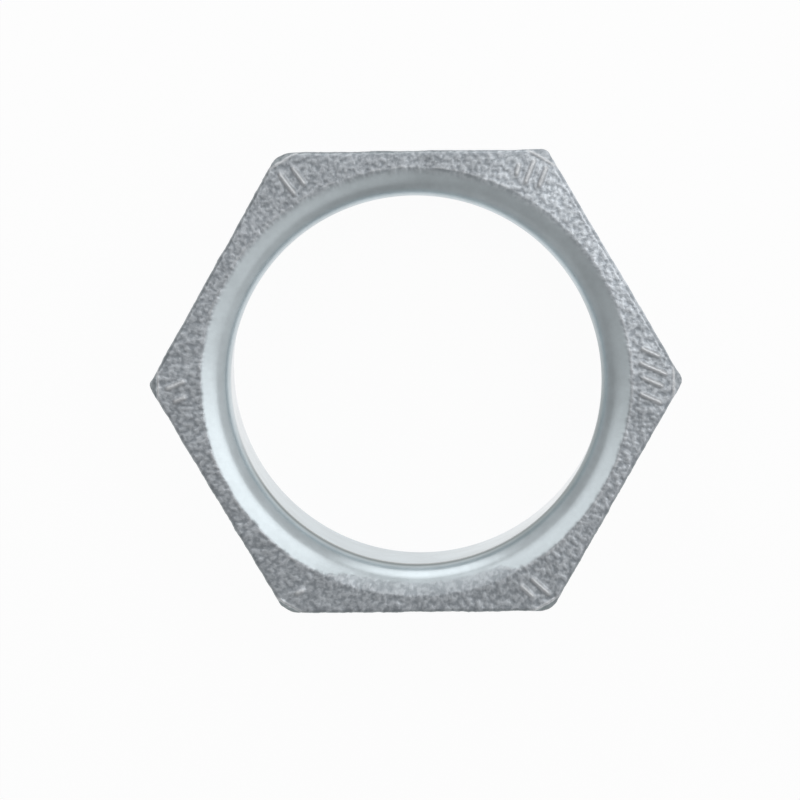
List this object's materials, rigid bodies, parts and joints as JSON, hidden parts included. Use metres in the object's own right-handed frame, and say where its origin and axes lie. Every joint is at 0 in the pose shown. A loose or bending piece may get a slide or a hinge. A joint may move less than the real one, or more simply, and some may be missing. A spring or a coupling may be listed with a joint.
{
  "type": "chase nipple",
  "caption": "Conduit chase nipple: hexagon head with a rounded wire throat above a short, straight-threaded barrel that screws into a female conduit hub or coupling.",
  "frame": {"origin": "on the axis, in the plane of the bearing face under the hexagon head", "axes": "+Z along the axis towards the head, with the threaded barrel on -Z; two corners of the hexagon lie on X, so flats face +Y and -Y"},
  "size_m": [0.089, 0.0778, 0.027],
  "materials": {
    "zinc_plated_iron": "bright zinc plate on a sand-cast surface, machined lip, bore and thread"
  },
  "bodies": {
    "root": {"chase_nipple": "zinc_plated_iron"}
  },
  "joints": []
}
